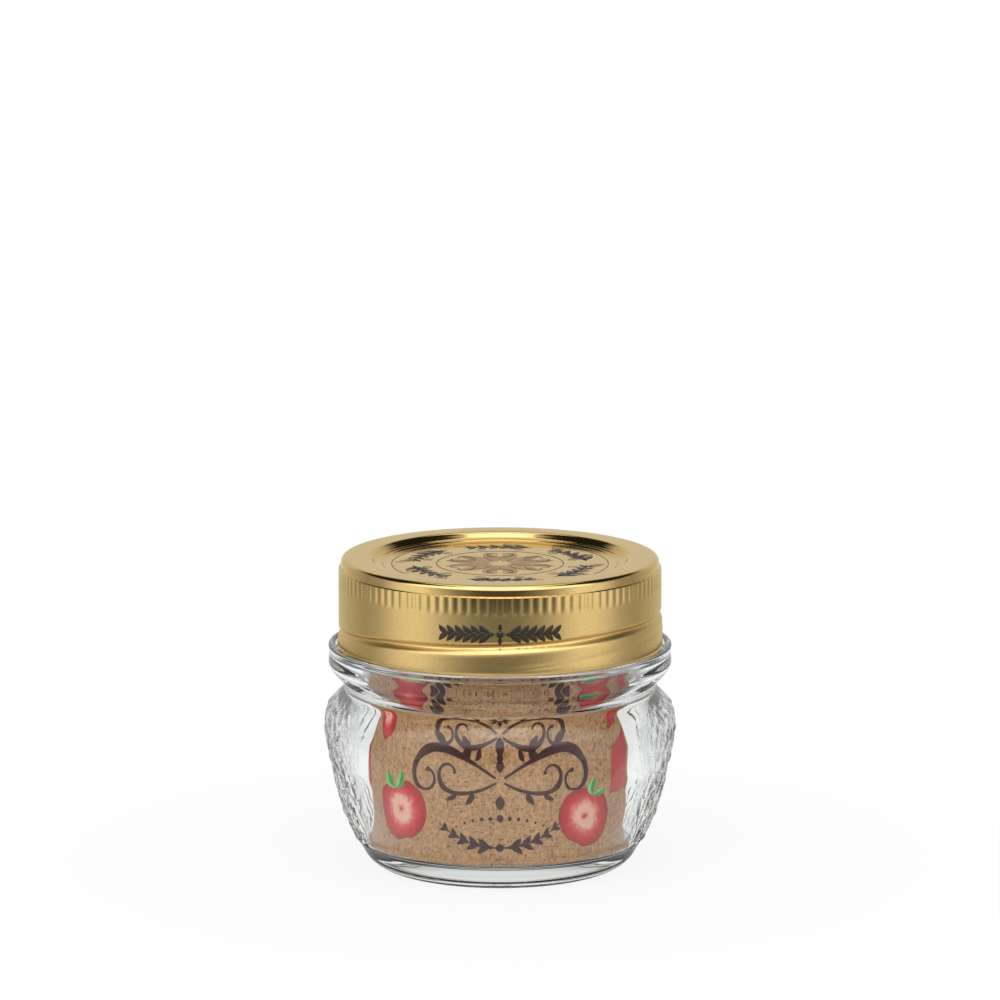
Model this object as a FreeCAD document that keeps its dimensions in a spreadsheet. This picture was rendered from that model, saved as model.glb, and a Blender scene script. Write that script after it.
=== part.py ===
# Squat glass canning jar with a one-piece screw lid, its sealing ring and the rolled
# paper leaflet that stands inside.  Millimetres, +Z up, origin on the axis at the
# underside of the foot, the jar's front towards -Y.
import FreeCAD, Part

import math
import os
from types import SimpleNamespace

import Sketcher

# ---------------------------------------------------------------- driving dimensions
# Heights hang from the rim: the lid seats there, and the flange that shields the lid's
# edge, the waist and the belly all follow it down.  Radii step out or in from the lid.
DIMENSIONS = [
    ("jar_height", 69.95, "foot to the sealing rim"),
    ("lid_radius", 36.65, "smooth skirt of the lid, outside"),
    # glass, outside
    ("belly_swell", 2.95, "how far the belly stands out past the lid"),
    ("belly_drop", 7.7, "waist down to the widest level"),
    ("roll_swell", 1.5, "belly out past the top of the lower wall"),
    ("roll_drop", 9.4, "belly down to the top of the lower wall"),
    ("wall_bow", 1.082, "how far the lower wall bows out from a straight cone"),
    ("roll_blend", 14.0, "rounding where wall and belly meet"),
    ("heel_tuck", 8.4, "belly in to the heel"),
    ("heel_level", 4.0, "height of the heel"),
    ("heel_turn", 6.3, "heel in to the flat foot ring"),
    ("foot_land", 2.4, "width of the flat foot ring"),
    ("punt_depth", 1.8, "push-up under the base"),
    ("waist_step", 0.95, "waist out past the neck"),
    ("waist_drop", 8.3, "dish down to the waist"),
    ("waist_round", 1.3, "rounding in the waist"),
    ("flange_thick", 2.7, "dish down to the flange's lower corner"),
    ("flange_round", 1.4, "rounding of the flange's lower corner"),
    ("lip_wall", 1.6, "thickness of the upturned lip"),
    ("lip_rise", 2.0, "dish up to the top of the lip"),
    ("lip_round", 0.6, "rounding on top of the lip"),
    ("lip_hollow", 0.3, "shallow groove round the outside of the lip"),
    ("thread_room", 2.65, "lid's inside face in to the neck"),
    ("neck_wall", 2.7, "thickness of the neck"),
    ("rim_round", 0.7, "rounding of the rim's two edges"),
    # glass, inside
    ("belly_wall", 3.2, "thickness at the widest level"),
    ("floor_level", 5.7, "foot up to the inside floor"),
    ("floor_tuck", 2.6, "mouth in to the flat of the floor"),
    ("floor_rise", 3.3, "floor up to the end of the inner heel"),
    ("bore_drop", 6.4, "dish down to the bottom of the straight bore"),
    ("bore_round", 3.0, "rounding under the straight bore"),
    # lid
    ("sheet", 0.25, "metal thickness"),
    ("lid_height", 20.95, "top face to the curled edge"),
    ("bead_set", 0.55, "top bead in from the skirt"),
    ("bead_round", 0.85, "rounding of the bead's upper corner"),
    ("bead_height", 1.55, "top face to the bead's lower corner"),
    ("bead_tuck", 0.45, "rounding of the bead's lower corner"),
    ("undercut", 0.55, "depth of the line under the bead"),
    ("undercut_fall", 0.4, "bead's lower corner down to the line"),
    ("recess_gap", 1.5, "mouth in to the recess of the lid"),
    ("recess_lean", 1.2, "run of the recess wall"),
    ("recess_drop", 1.3, "top face to the ledge"),
    ("ledge_width", 1.4, "ledge round the panel"),
    ("panel_drop", 0.4, "ledge down to the panel"),
    ("crease_round", 0.35, "small rounding of the pressed creases"),
    ("knurl_count", 108, "ribs round the skirt"),
    ("knurl_start", 2.5, "top face to the ribs"),
    ("knurl_length", 4.2, "length of a rib"),
    ("knurl_rise", 0.3, "height of a rib"),
    ("knurl_share", 0.62, "share of the pitch that a rib takes"),
    ("groove_rise", 7.2, "curled edge up to the rolled thread groove"),
    ("groove_depth", 0.9, "depth of the rolled groove"),
    ("groove_shoulder", 0.9, "rolled groove up to the smooth skirt"),
    ("groove_tail", 2.16, "rolled groove down to the lower skirt"),
    ("lower_swell", 0.3, "lower skirt out past the smooth skirt"),
    ("curl_radius", 0.55, "rolled wire edge"),
    # fits
    ("seal_thick", 1.0, "sealing ring between rim and lid"),
    ("seal_overlap", 0.6, "sealing ring in past the mouth"),
    ("seal_inset", 0.9, "sealing ring in from the rounding of the bead"),
    ("edge_gap", 0.9, "lid's edge above the dish of the flange"),
    ("lip_gap", 0.55, "lid's edge in from the lip"),
    # leaflet
    ("leaflet_gap", 1.6, "mouth in to the rolled leaflet"),
    ("leaflet_height", 58.0, "height of the leaflet"),
    ("leaflet_seat", 0.4, "leaflet's edge above the floor"),
    ("paper", 0.35, "thickness of the leaflet"),
    ("roll_pitch", 0.7, "one layer of the roll to the next"),
    ("overlap_angle", 62.0, "how far the roll overlaps itself, in degrees"),
    ("outer_end_angle", -34.0, "place of the outer end round the axis, in degrees"),
]


class Size(float):
    """A number that carries the sheet expression it comes from."""

    def __new__(cls, value, text):
        size = super().__new__(cls, value)
        size.text = text
        return size

    def _with(self, value, other, sign):
        return Size(value, f"({self.text} {sign} {getattr(other, 'text', repr(other))})")

    def __add__(self, other):
        return self._with(float(self) + float(other), other, "+")

    def __sub__(self, other):
        return self._with(float(self) - float(other), other, "-")

    def __mul__(self, other):
        return self._with(float(self) * float(other), other, "*")

    def __truediv__(self, other):
        return self._with(float(self) / float(other), other, "/")

    def __neg__(self):
        return Size(-float(self), f"(-{self.text})")


def write_sheet(doc):
    """Put the dimensions in a sheet; return them as sizes that know their cell."""
    sheet = doc.addObject("Spreadsheet::Sheet", "Sizes")
    sizes = {}
    for row, (alias, value, note) in enumerate(DIMENSIONS, start=1):
        sheet.set(f"A{row}", note)
        sheet.set(f"B{row}", str(value))
        sheet.setAlias(f"B{row}", alias)
        sizes[alias] = Size(value, f"Sizes.{alias}")
    doc.recompute()
    return SimpleNamespace(**sizes)


# ---------------------------------------------------------------- sketches and features
def new_body(doc, label):
    body = doc.addObject("PartDesign::Body", label)
    body.Label = label
    return body


def new_sketch(body, name, plane, height=None):
    """A sketch on one of the body's own origin planes, lifted by height if given."""
    sketch = body.newObject("Sketcher::SketchObject", name)
    origin_plane = next(f for f in body.Origin.OriginFeatures if f.Role == plane)
    sketch.AttachmentSupport = [(origin_plane, "")]
    sketch.MapMode = "FlatFace"
    if height is not None:
        sketch.setExpression("AttachmentOffset.Base.z", height.text)
    return sketch


def constrain(sketch, size, kind, *where):
    """Add a constraint and bind it to the size's cells."""
    index = sketch.addConstraint(Sketcher.Constraint(kind, *where, float(size)))
    if isinstance(size, Size):
        sketch.setExpression(f"Constraints[{index}]", size.text)


def pin(sketch, where, x, y):
    """Fix a point of the sketch at x, y from the sketch's origin."""
    for value, kind, axis in ((x, "DistanceX", -2), (y, "DistanceY", -1)):
        if float(value) == 0.0:
            sketch.addConstraint(Sketcher.Constraint("PointOnObject", *where, axis))
        elif float(value) > 0.0:
            constrain(sketch, value, kind, -1, 1, *where)
        else:
            constrain(sketch, -value, kind, *where, -1, 1)


def arc_centre(start, end, side):
    """Centre of the arc from start to end that the side asks for."""
    run, rise = end[0] - start[0], end[1] - start[1]
    reach = run * run + rise * rise
    kind = side[0]
    if kind == "flat_start":
        return start[0], start[1] + reach / (2 * rise)
    if kind == "upright_start":
        return start[0] + reach / (2 * run), start[1]
    if kind == "upright_end":
        return end[0] - reach / (2 * run), end[1]
    if kind == "flat_end":
        return end[0], end[1] - reach / (2 * rise)
    radius, hand = float(side[1]), side[2]
    off = hand * math.sqrt(radius * radius - reach / 4) / math.sqrt(reach)
    return (start[0] + end[0]) / 2 - rise * off, (start[1] + end[1]) / 2 + run * off


def outline(sketch, corners):
    """Close a chain of lines and arcs through the corners.

    A corner is (x, y) or (x, y, side), and the side says how the chain leaves it:
    ("flat_start",), ("flat_end",), ("upright_start",) or ("upright_end",) is an arc that
    runs flat or upright at that end, and ("radius", size, hand) one of that radius with
    its centre on the left (+1) or on the right (-1).
    """
    points = [(float(c[0]), float(c[1])) for c in corners]
    ends = []
    for i, corner in enumerate(corners):
        start, end = points[i], points[(i + 1) % len(points)]
        if len(corner) == 2:
            line = Part.LineSegment(FreeCAD.Vector(*start, 0), FreeCAD.Vector(*end, 0))
            ends.append((sketch.addGeometry(line, False), 1, 2))
            continue
        centre = arc_centre(start, end, corner[2])
        angles = [math.atan2(p[1] - centre[1], p[0] - centre[0]) for p in (start, end)]
        turn = (angles[1] - angles[0]) % (2 * math.pi)
        forward = turn <= math.pi
        low = angles[0] if forward else angles[1]
        sweep = turn if forward else 2 * math.pi - turn
        circle = Part.Circle(FreeCAD.Vector(*centre, 0), FreeCAD.Vector(0, 0, 1),
                             math.dist(centre, start))
        arc = Part.ArcOfCircle(circle, low, low + sweep)
        ends.append((sketch.addGeometry(arc, False), *((1, 2) if forward else (2, 1))))
    for i, corner in enumerate(corners):
        geo, first, last = ends[i]
        following = ends[(i + 1) % len(ends)]
        sketch.addConstraint(
            Sketcher.Constraint("Coincident", geo, last, following[0], following[1]))
        pin(sketch, (geo, first), corner[0], corner[1])
    for (geo, first, last), corner in zip(ends, corners):
        if len(corner) == 2:
            continue
        kind = corner[2][0]
        if kind == "radius":
            constrain(sketch, corner[2][1], "Radius", geo)
            continue
        level = "Vertical" if kind.startswith("flat") else "Horizontal"
        vertex = first if kind.endswith("start") else last
        sketch.addConstraint(Sketcher.Constraint(level, geo, vertex, geo, 3))


def turned(body, name, corners, cut=False):
    """Turn an outline in the front plane about the axis, as stock or as a cut."""
    sketch = new_sketch(body, name + "_outline", "XZ_Plane")
    outline(sketch, corners)
    before = body.Shape.Volume if cut else 0.0
    kind = "PartDesign::Groove" if cut else "PartDesign::Revolution"
    feature = body.newObject(kind, name)
    feature.Profile = sketch
    feature.ReferenceAxis = (sketch, ["V_Axis"])
    feature.Angle = 360
    body.Document.recompute()
    if cut and not feature.Shape.Volume < before - 1.0:
        raise RuntimeError(f"{name} cuts nothing")
    return feature


def ring_edges(feature, rings):
    """Names of the feature's circular edges at the given (radius, level) pairs."""
    names = []
    for radius, level in rings:
        for number, edge in enumerate(feature.Shape.Edges, start=1):
            curve = edge.Curve
            if not isinstance(curve, Part.Circle):
                continue
            if abs(curve.Radius - radius) < 0.01 and abs(curve.Center.z - level) < 0.01:
                names.append(f"Edge{number}")
    if len(names) < len(rings):
        raise RuntimeError(f"{feature.Label}: {len(names)} edges for {len(rings)} rings")
    return names


def rounded(body, name, base, radius, rings):
    """Fillet the base's ring edges."""
    feature = body.newObject("PartDesign::Fillet", name)
    feature.Base = (base, ring_edges(base, rings))
    feature.setExpression("Radius", radius.text)
    body.Document.recompute()
    return feature


# ---------------------------------------------------------------- the pieces
def levels_and_radii(mm):
    """Levels and radii that more than one piece takes, from the driving dimensions."""
    lid_top = mm.jar_height + mm.seal_thick + mm.sheet
    lid_edge = lid_top - mm.lid_height
    neck = mm.lid_radius - mm.sheet - mm.thread_room
    mouth = neck - mm.neck_wall
    bead = mm.lid_radius - mm.bead_set
    return SimpleNamespace(lid_top=lid_top, lid_edge=lid_edge, neck=neck, mouth=mouth, bead=bead)


def bowed(start, end, bow):
    """Radius of an arc that bows out from the straight line between two points.

    Half the line squared, plus the bow squared, over twice the bow.
    """
    run, rise = end[0] - start[0], end[1] - start[1]
    return ((run * run + rise * rise) / 4 + bow * bow) / (bow * 2)


def make_jar(doc, mm, at):
    """The pressed and blown glass: foot, belly, waist, shielding flange and neck."""
    body = new_body(doc, "jar")
    dish = at.lid_edge - mm.edge_gap
    lip_top = dish + mm.lip_rise
    lip_inside = mm.lid_radius + mm.lower_swell + mm.lip_gap
    lip_outside = lip_inside + mm.lip_wall
    flange_low = dish - mm.flange_thick
    waist = at.neck + mm.waist_step
    waist_level = dish - mm.waist_drop
    belly = mm.lid_radius + mm.belly_swell
    belly_level = waist_level - mm.belly_drop
    roll = belly - mm.roll_swell
    roll_level = belly_level - mm.roll_drop
    heel = belly - mm.heel_tuck
    foot = heel - mm.heel_turn
    wall = bowed((heel, mm.heel_level), (roll, roll_level), mm.wall_bow)

    stock = turned(body, "outside", [
        (0, 0),
        (foot, 0, ("flat_start",)),
        (heel, mm.heel_level, ("radius", wall, 1)),
        (roll, roll_level, ("upright_end",)),
        (belly, belly_level, ("upright_start",)),
        (waist, waist_level),
        (lip_outside, flange_low),
        (lip_outside - mm.lip_hollow, dish),
        (lip_outside, lip_top),
        (lip_inside, lip_top),
        (lip_inside, dish),
        (at.neck, dish),
        (at.neck, mm.jar_height),
        (0, mm.jar_height),
    ])
    shape = rounded(body, "roll_rounding", stock, mm.roll_blend, [(roll, roll_level)])
    shape = rounded(body, "waist_rounding", shape, mm.waist_round, [(waist, waist_level)])
    shape = rounded(body, "flange_rounding", shape, mm.flange_round,
                    [(lip_outside, flange_low)])
    shape = rounded(body, "lip_rounding", shape, mm.lip_round,
                    [(lip_outside, lip_top), (lip_inside, lip_top)])

    floor_flat = at.mouth - mm.floor_tuck
    bore_end = dish - mm.bore_drop
    inner_belly = belly - mm.belly_wall
    cavity = turned(body, "cavity", [
        (0, mm.floor_level),
        (floor_flat, mm.floor_level, ("flat_start",)),
        (at.mouth, mm.floor_level + mm.floor_rise, ("upright_end",)),
        (inner_belly, belly_level, ("upright_start",)),
        (at.mouth, bore_end),
        (at.mouth, mm.jar_height),
        (0, mm.jar_height),
    ], cut=True)
    shape = rounded(body, "bore_rounding", cavity, mm.bore_round, [(at.mouth, bore_end)])
    rounded(body, "rim_rounding", shape, mm.rim_round,
            [(at.mouth, mm.jar_height), (at.neck, mm.jar_height)])
    turned(body, "punt", [
        (0, 0),
        (foot - mm.foot_land, 0, ("flat_end",)),
        (0, mm.punt_depth),
    ], cut=True)
    return body


def make_lid(doc, mm, at):
    """The one-piece screw lid, pressed from sheet: panel, bead, ribs, groove and curl."""
    body = new_body(doc, "lid")
    recess = at.mouth - mm.recess_gap
    ledge = recess - mm.recess_lean
    panel = ledge - mm.ledge_width
    ledge_level = at.lid_top - mm.recess_drop
    panel_level = ledge_level - mm.panel_drop
    bead_low = at.lid_top - mm.bead_height
    rib_root = mm.lid_radius - mm.knurl_rise
    rib_top = at.lid_top - mm.knurl_start
    rib_low = rib_top - mm.knurl_length
    groove_level = at.lid_edge + mm.groove_rise
    groove = mm.lid_radius - mm.groove_depth
    lower = mm.lid_radius + mm.lower_swell

    blank = turned(body, "blank", [
        (0, at.lid_edge),
        (lower, at.lid_edge),
        (lower, groove_level - mm.groove_tail),
        (groove, groove_level),
        (mm.lid_radius, groove_level + mm.groove_shoulder),
        (mm.lid_radius, rib_low),
        (rib_root, rib_low + mm.knurl_rise),
        (rib_root, rib_top),
        (at.bead - mm.undercut, bead_low - mm.undercut_fall),
        (at.bead, bead_low),
        (at.bead, at.lid_top),
        (recess, at.lid_top),
        (ledge, ledge_level),
        (panel, ledge_level),
        (panel - mm.panel_drop, panel_level),
        (0, panel_level),
    ])
    shape = rounded(body, "bead_rounding", blank, mm.bead_round, [(at.bead, at.lid_top)])
    shape = rounded(body, "bead_tucking", shape, mm.bead_tuck, [(at.bead, bead_low)])
    shape = rounded(body, "crease_rounding", shape, mm.crease_round, [
        (recess, at.lid_top), (ledge, ledge_level),
        (mm.lid_radius, groove_level + mm.groove_shoulder), (groove, groove_level)])

    hollow = body.newObject("PartDesign::Thickness", "hollow")
    under = next(number for number, face in enumerate(shape.Shape.Faces, start=1)
                 if abs(face.BoundBox.ZMax - at.lid_edge) < 0.01)
    hollow.Base = (shape, [f"Face{under}"])
    hollow.setExpression("Value", mm.sheet.text)
    hollow.Mode = "Skin"
    hollow.Join = "Intersection"
    hollow.Reversed = True
    doc.recompute()
    if not hollow.Shape.Volume < shape.Shape.Volume / 4:
        raise RuntimeError("the lid is not hollow")

    curl = new_sketch(body, "curl_outline", "XZ_Plane")
    circle = Part.Circle(FreeCAD.Vector(lower - mm.curl_radius, at.lid_edge + mm.curl_radius, 0),
                         FreeCAD.Vector(0, 0, 1), float(mm.curl_radius))
    ring = curl.addGeometry(circle, False)
    constrain(curl, mm.curl_radius, "Radius", ring)
    pin(curl, (ring, 3), lower - mm.curl_radius, at.lid_edge + mm.curl_radius)
    edge = body.newObject("PartDesign::Revolution", "curl")
    edge.Profile = curl
    edge.ReferenceAxis = (curl, ["V_Axis"])
    edge.Angle = 360
    doc.recompute()

    half_rib = mm.lid_radius * math.pi * mm.knurl_share / mm.knurl_count
    rib_back = rib_root - mm.sheet / 2
    rib_feet = (rib_back, -half_rib), (rib_back, half_rib)
    crown = bowed(*rib_feet, mm.lid_radius - rib_back)
    rib_sketch = new_sketch(body, "rib_outline", "XY_Plane", rib_low + mm.knurl_rise / 2)
    outline(rib_sketch, [
        (*rib_feet[0], ("radius", crown, 1)),
        rib_feet[1],
    ])
    rib = body.newObject("PartDesign::Pad", "rib")
    rib.Profile = rib_sketch
    rib.setExpression("Length", mm.knurl_length.text)
    doc.recompute()
    ribs = body.newObject("PartDesign::PolarPattern", "ribs")
    ribs.Originals = [rib]
    ribs.Axis = (rib_sketch, ["N_Axis"])
    ribs.Angle = 360
    ribs.setExpression("Occurrences", mm.knurl_count.text)
    body.Tip = ribs
    doc.recompute()
    return body


def make_seal(doc, mm, at):
    """The ring of sealing compound under the lid's flat annulus, seated on the rim."""
    body = new_body(doc, "seal")
    inside = at.mouth - mm.seal_overlap
    outside = at.bead - mm.bead_round - mm.seal_inset
    turned(body, "ring", [
        (inside, mm.jar_height),
        (outside, mm.jar_height),
        (outside, mm.jar_height + mm.seal_thick),
        (inside, mm.jar_height + mm.seal_thick),
    ])
    return body


def make_leaflet(doc, mm, at):
    """The leaflet, rolled a little over one turn: a spiral of half circles on two centres.

    The sketch has its outer end on the X axis; each half turn is drawn about a centre
    moved along X by half the pitch, so that the layers stay apart where they overlap.
    """
    body = new_body(doc, "leaflet")
    radius = at.mouth - mm.leaflet_gap
    sketch = new_sketch(body, "roll_outline", "XY_Plane", mm.floor_level + mm.leaflet_seat)
    overlap = math.radians(mm.overlap_angle)
    shift = -(mm.roll_pitch / 2)

    def arc(centre_x, radius_of_arc, start, end):
        circle = Part.Circle(FreeCAD.Vector(centre_x, 0, 0), FreeCAD.Vector(0, 0, 1),
                             float(radius_of_arc))
        geo = sketch.addGeometry(Part.ArcOfCircle(circle, start, end), False)
        pin(sketch, (geo, 3), centre_x, 0)
        return geo

    faces = []
    for skin in (radius, radius - mm.paper):
        front = arc(0, skin, -math.pi, 0)
        back = arc(shift, skin - mm.roll_pitch / 2, 0, math.pi)
        tail = arc(0, skin - mm.roll_pitch, -overlap, 0)
        constrain(sketch, skin, "Radius", front)
        for geo, end in ((front, 2), (front, 1), (back, 1)):
            sketch.addConstraint(Sketcher.Constraint("PointOnObject", geo, end, -1))
        sketch.addConstraint(Sketcher.Constraint("Coincident", front, 1, back, 2))
        sketch.addConstraint(Sketcher.Constraint("Coincident", back, 1, tail, 2))
        faces.append((front, back, tail))
    (outer_front, _, outer_tail), (inner_front, _, inner_tail) = faces

    def join(first, first_end, second, second_end):
        points = [sketch.getPoint(geo, end) for geo, end in ((first, first_end), (second, second_end))]
        line = sketch.addGeometry(Part.LineSegment(*points), False)
        sketch.addConstraint(Sketcher.Constraint("Coincident", line, 1, first, first_end))
        sketch.addConstraint(Sketcher.Constraint("Coincident", line, 2, second, second_end))
        return line

    join(outer_front, 2, inner_front, 2)
    tail_end = join(outer_tail, 1, inner_tail, 1)
    sketch.addConstraint(Sketcher.Constraint("PointOnObject", -1, 1, tail_end))
    reach = sketch.addConstraint(
        Sketcher.Constraint("Angle", outer_tail, float(mm.overlap_angle) * math.pi / 180))
    sketch.setExpression(f"Constraints[{reach}]", f"{mm.overlap_angle.text} * 1 deg")

    roll = body.newObject("PartDesign::Pad", "roll")
    roll.Profile = sketch
    roll.setExpression("Length", mm.leaflet_height.text)
    doc.recompute()
    body.setExpression("Placement.Rotation.Angle", f"{mm.outer_end_angle.text} * 1 deg")
    body.Placement.Rotation.Axis = FreeCAD.Vector(0, 0, 1)
    return body


# ---------------------------------------------------------------- build and write
def check(doc, bodies):
    """Stop before anything is written if an object failed or a piece is not sound."""
    for item in doc.Objects:
        if {"Invalid", "Error"} & set(item.State):
            raise RuntimeError(f"{item.Label}: {item.State}")
    for body in bodies:
        if body.Shape.isNull() or not body.Shape.isValid() or len(body.Shape.Solids) != 1:
            raise RuntimeError(f"{body.Label} is not one sound solid")


document = FreeCAD.newDocument("canning_jar")
dimensions = write_sheet(document)
shared = levels_and_radii(dimensions)
pieces = [make(document, dimensions, shared)
          for make in (make_jar, make_lid, make_seal, make_leaflet)]
document.recompute()
check(document, pieces)
os.makedirs("parts", exist_ok=True)
for piece in pieces:
    piece.Shape.exportStep(f"parts/{piece.Label}.step")
    box = piece.Shape.BoundBox
    print(f"{piece.Label}: {piece.Shape.Volume / 1000:.2f} cm3, "
          f"z {box.ZMin:.2f} to {box.ZMax:.2f}, radius {box.XMax:.2f}")
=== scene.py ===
# Squat glass canning jar with a gold screw lid and a rolled paper leaflet inside.
# The file follows the jar as it is put together: the glass, the seal, the lid, the leaflet,
# what is printed on paper and lid, then the table, lights and camera.
import math

import bpy
import numpy as np
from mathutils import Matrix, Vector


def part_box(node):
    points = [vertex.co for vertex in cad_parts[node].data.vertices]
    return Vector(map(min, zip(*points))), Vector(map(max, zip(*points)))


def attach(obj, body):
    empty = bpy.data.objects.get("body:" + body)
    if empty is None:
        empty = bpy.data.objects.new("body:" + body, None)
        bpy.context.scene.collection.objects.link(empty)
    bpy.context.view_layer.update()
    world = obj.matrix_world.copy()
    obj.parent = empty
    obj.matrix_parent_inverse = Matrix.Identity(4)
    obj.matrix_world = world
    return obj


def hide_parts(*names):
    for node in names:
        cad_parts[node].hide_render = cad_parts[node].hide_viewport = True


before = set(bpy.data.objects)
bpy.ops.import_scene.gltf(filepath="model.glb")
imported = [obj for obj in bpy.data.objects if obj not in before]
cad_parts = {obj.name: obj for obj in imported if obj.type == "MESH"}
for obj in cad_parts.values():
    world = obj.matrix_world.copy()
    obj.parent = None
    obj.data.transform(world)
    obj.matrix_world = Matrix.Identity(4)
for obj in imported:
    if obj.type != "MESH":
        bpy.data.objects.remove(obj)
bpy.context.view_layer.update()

# ------------------------------------------------------------------------ glass jar
# One piece of clear soda-lime glass, pressed and blown in a mould: a pushed-up foot, a
# round belly with leaves and fruit raised on its two sides, a waist, and an upturned
# flange that shields the lid's edge. The neck above it carries the screw thread.
MM = 0.001
rim_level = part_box("jar")[1][2] / MM
lid_edge, lid_top = (corner[2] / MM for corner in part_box("lid"))
skirt_radius = 36.65
lid_sheet = 0.25
dish_level = lid_edge - 0.9
flange_low = dish_level - 2.7
lip_inside = skirt_radius + 0.85
lip_outside = lip_inside + 1.6
lip_top = dish_level + 2.0
neck_radius = skirt_radius - lid_sheet - 2.65
mouth_radius = neck_radius - 2.7
bore_end = dish_level - 6.4
waist_radius = neck_radius + 0.95
waist_level = dish_level - 8.3
belly_radius = skirt_radius + 2.95
belly_level = waist_level - 7.7
roll_radius = belly_radius - 1.5
roll_level = belly_level - 9.4
heel_radius = belly_radius - 8.4
heel_level = 4.0
foot_radius = heel_radius - 6.3
foot_inside = foot_radius - 2.4
punt_rise = 1.8
wall_bow_radius = 52.0
belly_wall = 3.2
floor_level = 5.7
floor_turn = 2.6
floor_rise = 3.3


def upright_centre(widest, other):
    """Centre of the arc that runs upright at its widest point and meets the other point."""
    run, rise = other[0] - widest[0], other[1] - widest[1]
    return widest[0] + (run * run + rise * rise) / (2 * run), widest[1]


def arc(centre, start, end, count=48):
    """Points turned evenly about centre, the shorter way round, from start to end."""
    centre, start, end = (np.array(point, float) for point in (centre, start, end))
    first, last = (np.arctan2(*(point - centre)[::-1]) for point in (start, end))
    turn = (last - first + np.pi) % (2 * np.pi) - np.pi
    angles = first + turn * np.linspace(0, 1, count)
    return centre + np.hypot(*(start - centre)) * np.stack([np.cos(angles), np.sin(angles)], 1)


def chain_length(points):
    """Distance along a chain of points, from its first to each of them."""
    return np.concatenate([[0], np.cumsum(np.hypot(*np.diff(points, axis=0).T))])


def along(points, spacing, cut_start=0.0, cut_end=0.0):
    """Points at even steps of about spacing along a chain, less what is cut off its ends."""
    points = np.asarray(points, float)
    length = chain_length(points)
    count = max(2, int(np.ceil((length[-1] - cut_start - cut_end) / spacing)) + 1)
    at = np.linspace(cut_start, length[-1] - cut_end, count)
    return np.stack([np.interp(at, length, points[:, i]) for i in (0, 1)], 1)


def straight(start, corners):
    """Straight runs from start through (r, z, spacing, round) corners, for moulded."""
    points = [start] + [corner[:2] for corner in corners]
    return [([before, after], spacing, bend)
            for before, after, (_, _, spacing, bend) in zip(points, points[1:], corners)]


BEND_STEP = 0.45


def moulded(runs):
    """One profile from (points, spacing, round) runs laid end to end.

    Where two runs meet, round mm is cut from each, and a quadratic bend through the
    corner joins them: (1-t)^2 P + 2t(1-t) C + t^2 Q.
    """
    profile = []
    before = 0.0
    for number, (points, spacing, after) in enumerate(runs):
        part = along(points, spacing, before, after)
        last = number + 1 == len(runs)
        profile.append(part if last or after > 0 else part[:-1])
        if after > 0 and not last:
            follow = along(*runs[number + 1][:2], after)[0]
            steps = np.linspace(0, 1, 2 + max(3, int(after * 2 / BEND_STEP)))[1:-1, None]
            corner = np.array(points[-1], float)
            profile.append((1 - steps) ** 2 * part[-1] + 2 * steps * (1 - steps) * corner
                           + steps ** 2 * follow)
        before = after
    return np.concatenate(profile)


def mesh_object(name, points, faces, smooth=True):
    """A mesh object in metres, from points in mm and arrays of faces by corner number."""
    mesh = bpy.data.meshes.new(name)
    mesh.from_pydata((points * MM).tolist(), [], [f for face in faces for f in face.tolist()])
    mesh.polygons.foreach_set("use_smooth", np.full(len(mesh.polygons), smooth))
    made = bpy.data.objects.new(name, mesh)
    bpy.context.scene.collection.objects.link(made)
    return made


def closed_object(name, points, faces):
    """A closed mesh, faced so that its volume, the sum of a . (b x c) / 6, is positive."""
    fans = np.concatenate([face[:, [0, i, i + 1]] for face in faces
                           for i in range(1, face.shape[1] - 1)])
    a, b, c = (points[fans[:, i]] for i in range(3))
    if np.einsum("ij,ij->", a, np.cross(b, c)) < 0:
        faces = [face[:, ::-1] for face in faces]
    made = mesh_object(name, points, faces)
    made.data.validate()
    return made


def turned(name, profile, angles, shape=None):
    """Surface of revolution: point (r, z) at angle a is (r sin a, -r cos a, z), front at -Y.

    shape(r, z, a) may return the grid's own radius and level. A profile that starts and
    ends on the axis is closed there by fans, any other is a loop joined end to start.
    """
    capped = profile[0, 0] == 0 and profile[-1, 0] == 0
    ring = profile[1:-1] if capped else profile
    radius, angle = np.meshgrid(ring[:, 0], angles, indexing="ij")
    level = np.repeat(ring[:, 1:2], len(angles), axis=1)
    if shape:
        radius, level = shape(radius, level, angle)
    points = np.stack([radius * np.sin(angle), -radius * np.cos(angle), level], -1)
    points = points.reshape(-1, 3)
    rows, columns = radius.shape
    number = np.arange(rows * columns).reshape(rows, columns)
    across = np.roll(number, -1, axis=1)
    if not capped:
        number, across = (np.concatenate([grid, grid[:1]]) for grid in (number, across))
    faces = [np.stack([number[:-1], across[:-1], across[1:], number[1:]], -1).reshape(-1, 4)]
    if capped:
        poles = [[0, 0, profile[0, 1]], [0, 0, profile[-1, 1]]]
        points = np.concatenate([points, poles])
        low, high = len(points) - 2, len(points) - 1
        faces.append(np.stack([np.full(columns, low), across[0], number[0]], -1))
        faces.append(np.stack([np.full(columns, high), number[-1], across[-1]], -1))
    return closed_object(name, points, faces)


def cap_centre(edge_radius, low, rise, run):
    """Centre of the arc level at (edge_radius, low) that rises by rise in run."""
    return edge_radius, low + (run * run + rise * rise) / (2 * rise)


def wall_centre(start, end, radius):
    """Centre of the arc of that radius from start to end, on the side of the axis."""
    start, end = np.array(start), np.array(end)
    chord = end - start
    reach = np.hypot(*chord)
    off = math.sqrt(radius ** 2 - reach ** 2 / 4) / reach
    return (start + end) / 2 + off * np.array([-chord[1], chord[0]])


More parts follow.
